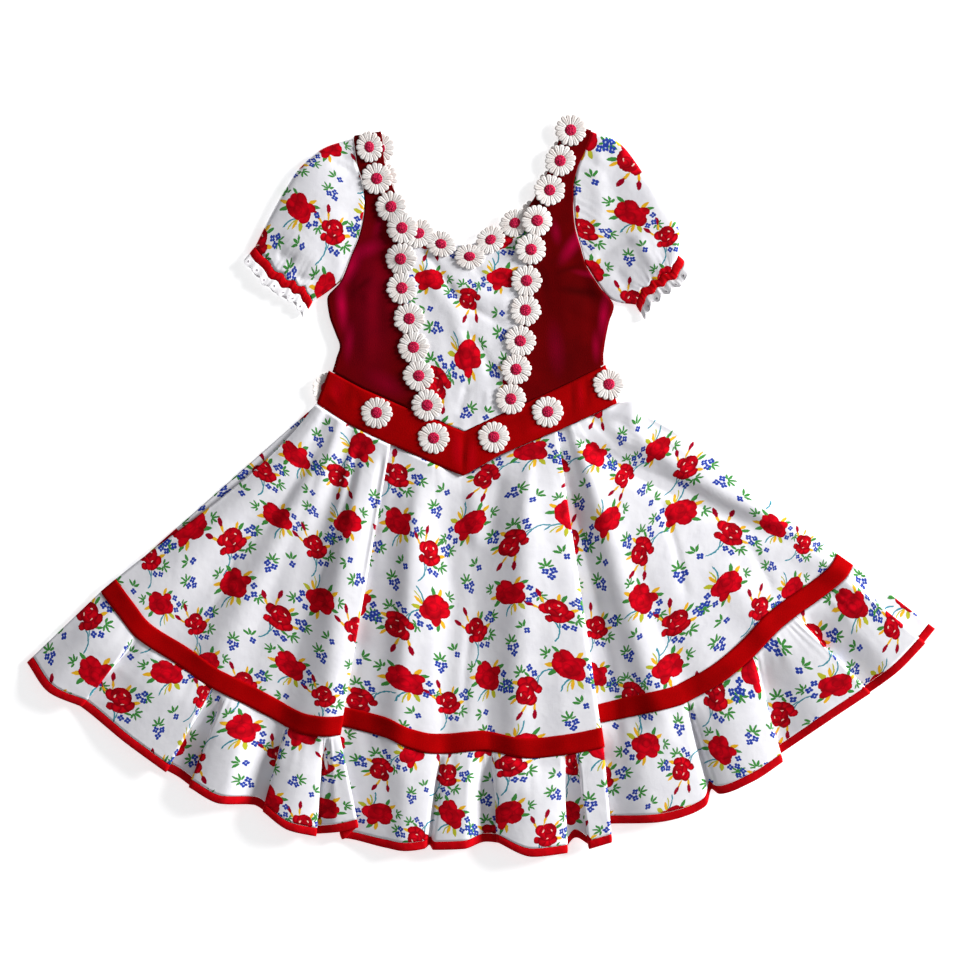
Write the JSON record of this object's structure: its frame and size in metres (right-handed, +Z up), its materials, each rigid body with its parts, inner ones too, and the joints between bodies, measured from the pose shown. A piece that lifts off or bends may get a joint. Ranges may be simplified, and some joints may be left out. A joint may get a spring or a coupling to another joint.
{
  "type": "huasa dress laid flat",
  "caption": "Child's folk dress laid flat, with a velvet bodice, pointed belt, sleeves, gathered skirt, ribbon band, hem ruffle and daisy trim.",
  "frame": {"origin": "on the surface the dress lies on, under the middle of its outline", "axes": "+Z up out of the dress's front, +Y from hem to shoulders, +X to the right as one looks down at the front"},
  "size_m": [0.8622, 0.7032, 0.017],
  "materials": {
    "flowered_cotton": "matt plain-weave cotton, white with printed roses",
    "bodice_velvet": "dark wine-red velvet with a soft sheen",
    "belt_velvet": "red velvet with a soft sheen",
    "ribbon_velvet": "red velvet ribbon",
    "red_binding": "bright red cotton bias binding",
    "lace": "white cotton lace",
    "daisy_thread": "cream guipure thread with a crimson centre"
  },
  "bodies": {
    "root": {"bodice_side_left": "bodice_velvet", "bodice_side_right": "bodice_velvet", "bodice_centre": "flowered_cotton", "bodice_back": "bodice_velvet", "belt_front": "belt_velvet", "belt_back": "belt_velvet", "skirt_front": "flowered_cotton", "ribbon_front": "ribbon_velvet", "ruffle_front": "flowered_cotton", "hem_binding_front": "red_binding", "skirt_back": "flowered_cotton", "ribbon_back": "ribbon_velvet", "ruffle_back": "flowered_cotton", "hem_binding_back": "red_binding", "sleeve_left": "flowered_cotton", "cuff_binding_left": "red_binding", "cuff_lace_left": "lace", "sleeve_right": "flowered_cotton", "cuff_binding_right": "red_binding", "cuff_lace_right": "lace", "daisy_chain_left": "daisy_thread", "daisy_chain_right": "daisy_thread", "daisy_chain_neck": "daisy_thread", "daisy_chain_back": "daisy_thread", "daisy_belt_1": "daisy_thread", "daisy_belt_2": "daisy_thread", "daisy_belt_3": "daisy_thread", "daisy_belt_4": "daisy_thread", "daisy_belt_5": "daisy_thread", "daisy_belt_6": "daisy_thread"}
  },
  "joints": []
}
